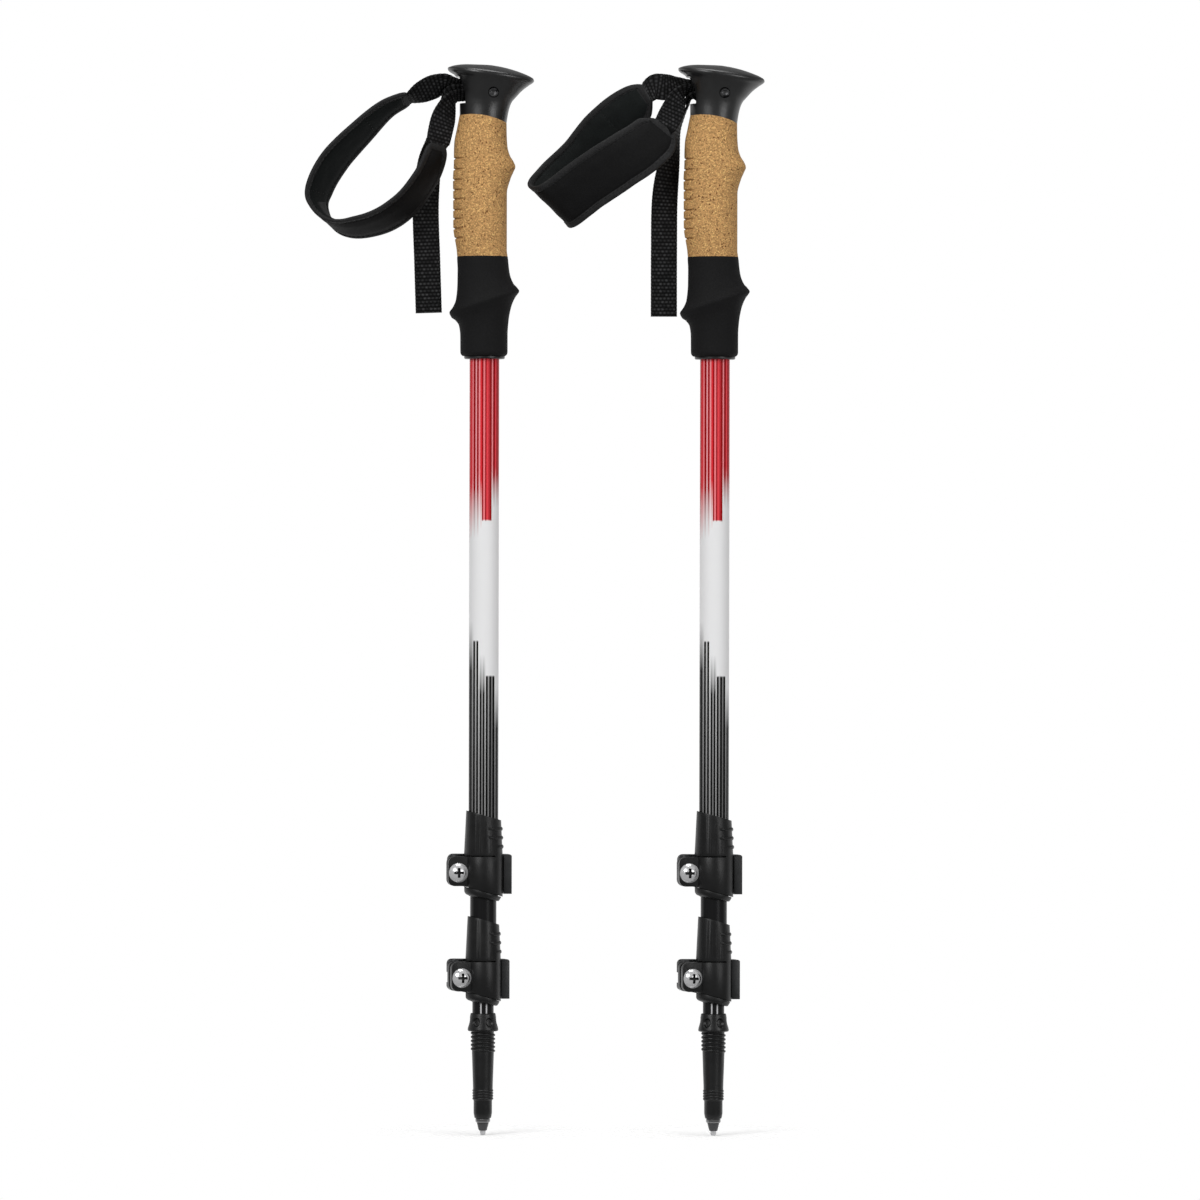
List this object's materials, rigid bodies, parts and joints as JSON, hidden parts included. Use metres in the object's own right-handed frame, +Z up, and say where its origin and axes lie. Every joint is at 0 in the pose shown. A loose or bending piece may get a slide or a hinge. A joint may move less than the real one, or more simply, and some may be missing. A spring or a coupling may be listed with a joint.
{
  "type": "trekking poles",
  "caption": "Telescopic trekking poles, collapsed, with flared grip heads, cork and foam grips, padded wrist straps, lever clamps and carbide tips",
  "frame": {"origin": "the point of the left pole's carbide tip", "axes": "+Z up along the poles, +X from the left pole to the right pole, -Y towards the picture's camera"},
  "size_m": [0.279, 0.0488, 0.6501],
  "materials": {
    "head_plastic": "satin black moulding",
    "cork": "granulated cork with dark and pale specks",
    "foam": "fine closed-cell foam, matte",
    "printed_tube": "white tube with red and black stripes, gloss",
    "black_tube": "black gloss tube",
    "clamp_plastic": "fine satin black moulding",
    "lever_plastic": "dark grey moulding",
    "bush_plastic": "plain dark bush",
    "tip_plastic": "satin black moulding",
    "bright_steel": "bright plated",
    "plain_steel": "plain turned",
    "dark_steel": "blackened",
    "pad_fabric": "knitted cloth over thin padding with sewn binding",
    "web_fabric": "ribbed woven webbing"
  },
  "bodies": {
    "left_pole": {"left_grip_head": "head_plastic", "left_strap_screw": "dark_steel", "left_strap_wedge": "bush_plastic", "left_cork_grip": "cork", "left_foam_grip": "foam", "left_grip_end_ring": "head_plastic", "left_upper_shaft": "printed_tube", "left_upper_clamp_body": "clamp_plastic", "left_upper_clamp_liner": "clamp_plastic", "left_upper_clamp_barrel": "plain_steel"},
    "left_middle": {"left_middle_shaft": "black_tube", "left_middle_guide": "bush_plastic", "left_lower_clamp_body": "clamp_plastic", "left_lower_clamp_liner": "clamp_plastic", "left_lower_clamp_barrel": "plain_steel"},
    "left_lower": {"left_lower_shaft": "black_tube", "left_lower_guide": "bush_plastic", "left_tip_ferrule": "tip_plastic", "left_tip_ring": "bright_steel", "left_tip_holder": "dark_steel", "left_carbide_tip": "plain_steel"},
    "left_upper_lever": {"left_upper_clamp_lever": "lever_plastic"},
    "left_lower_lever": {"left_lower_clamp_lever": "lever_plastic"},
    "left_upper_screw": {"left_upper_clamp_screw": "bright_steel"},
    "left_lower_screw": {"left_lower_clamp_screw": "bright_steel"},
    "left_strap": {"left_strap_pad": "pad_fabric", "left_strap_webbing": "web_fabric", "left_strap_tail": "web_fabric"},
    "right_pole": {"right_grip_head": "head_plastic", "right_strap_screw": "dark_steel", "right_strap_wedge": "bush_plastic", "right_cork_grip": "cork", "right_foam_grip": "foam", "right_grip_end_ring": "head_plastic", "right_upper_shaft": "printed_tube", "right_upper_clamp_body": "clamp_plastic", "right_upper_clamp_liner": "clamp_plastic", "right_upper_clamp_barrel": "plain_steel"},
    "right_middle": {"right_middle_shaft": "black_tube", "right_middle_guide": "bush_plastic", "right_lower_clamp_body": "clamp_plastic", "right_lower_clamp_liner": "clamp_plastic", "right_lower_clamp_barrel": "plain_steel"},
    "right_lower": {"right_lower_shaft": "black_tube", "right_lower_guide": "bush_plastic", "right_tip_ferrule": "tip_plastic", "right_tip_ring": "bright_steel", "right_tip_holder": "dark_steel", "right_carbide_tip": "plain_steel"},
    "right_upper_lever": {"right_upper_clamp_lever": "lever_plastic"},
    "right_lower_lever": {"right_lower_clamp_lever": "lever_plastic"},
    "right_upper_screw": {"right_upper_clamp_screw": "bright_steel"},
    "right_lower_screw": {"right_lower_clamp_screw": "bright_steel"},
    "right_strap": {"right_strap_pad": "pad_fabric", "right_strap_webbing": "web_fabric", "right_strap_tail": "web_fabric"}
  },
  "joints": [
    {"name": "left_middle_slide", "type": "slide", "parent": "left_pole", "child": "left_middle", "axis": [0, 0, -1], "range_m": [0, 0.35]},
    {"name": "left_lower_slide", "type": "slide", "parent": "left_middle", "child": "left_lower", "axis": [0, 0, -1], "range_m": [0, 0.35]},
    {"name": "left_upper_lever_hinge", "type": "hinge", "parent": "left_pole", "child": "left_upper_lever", "pos_m": [-0.01723, 0.00909, 0.1594], "axis": [0, 0, 1], "range_deg": [0, 120]},
    {"name": "left_lower_lever_hinge", "type": "hinge", "parent": "left_middle", "child": "left_lower_lever", "pos_m": [-0.01737, 0.00688, 0.0956], "axis": [0, 0, 1], "range_deg": [0, 120]},
    {"name": "left_upper_screw_turn", "type": "hinge", "parent": "left_pole", "child": "left_upper_screw", "pos_m": [-0.01453, -0.01012, 0.1594], "axis": [0.1392, -0.9903, 0], "continuous": true},
    {"name": "left_lower_screw_turn", "type": "hinge", "parent": "left_middle", "child": "left_lower_screw", "pos_m": [-0.01202, -0.01177, 0.0956], "axis": [0.2756, -0.9613, 0], "continuous": true},
    {"name": "left_strap_swing", "type": "hinge", "parent": "left_pole", "child": "left_strap", "pos_m": [-0.01405, 0, 0.6344], "axis": [0, 0, 1], "range_deg": [-15, 15]},
    {"name": "right_pole_apart", "type": "slide", "parent": "left_pole", "child": "right_pole", "axis": [1, 0, 0], "range_m": [0, 0.3]},
    {"name": "right_middle_slide", "type": "slide", "parent": "right_pole", "child": "right_middle", "axis": [0, 0, -1], "range_m": [0, 0.35]},
    {"name": "right_lower_slide", "type": "slide", "parent": "right_middle", "child": "right_lower", "axis": [0, 0, -1], "range_m": [0, 0.35]},
    {"name": "right_upper_lever_hinge", "type": "hinge", "parent": "right_pole", "child": "right_upper_lever", "pos_m": [0.12277, 0.00909, 0.1594], "axis": [0, 0, 1], "range_deg": [0, 120]},
    {"name": "right_lower_lever_hinge", "type": "hinge", "parent": "right_middle", "child": "right_lower_lever", "pos_m": [0.12263, 0.00688, 0.0956], "axis": [0, 0, 1], "range_deg": [0, 120]},
    {"name": "right_upper_screw_turn", "type": "hinge", "parent": "right_pole", "child": "right_upper_screw", "pos_m": [0.12547, -0.01012, 0.1594], "axis": [0.1392, -0.9903, 0], "continuous": true},
    {"name": "right_lower_screw_turn", "type": "hinge", "parent": "right_middle", "child": "right_lower_screw", "pos_m": [0.12798, -0.01177, 0.0956], "axis": [0.2756, -0.9613, 0], "continuous": true},
    {"name": "right_strap_swing", "type": "hinge", "parent": "right_pole", "child": "right_strap", "pos_m": [0.12595, 0, 0.6344], "axis": [0, 0, 1], "range_deg": [-15, 15]}
  ]
}
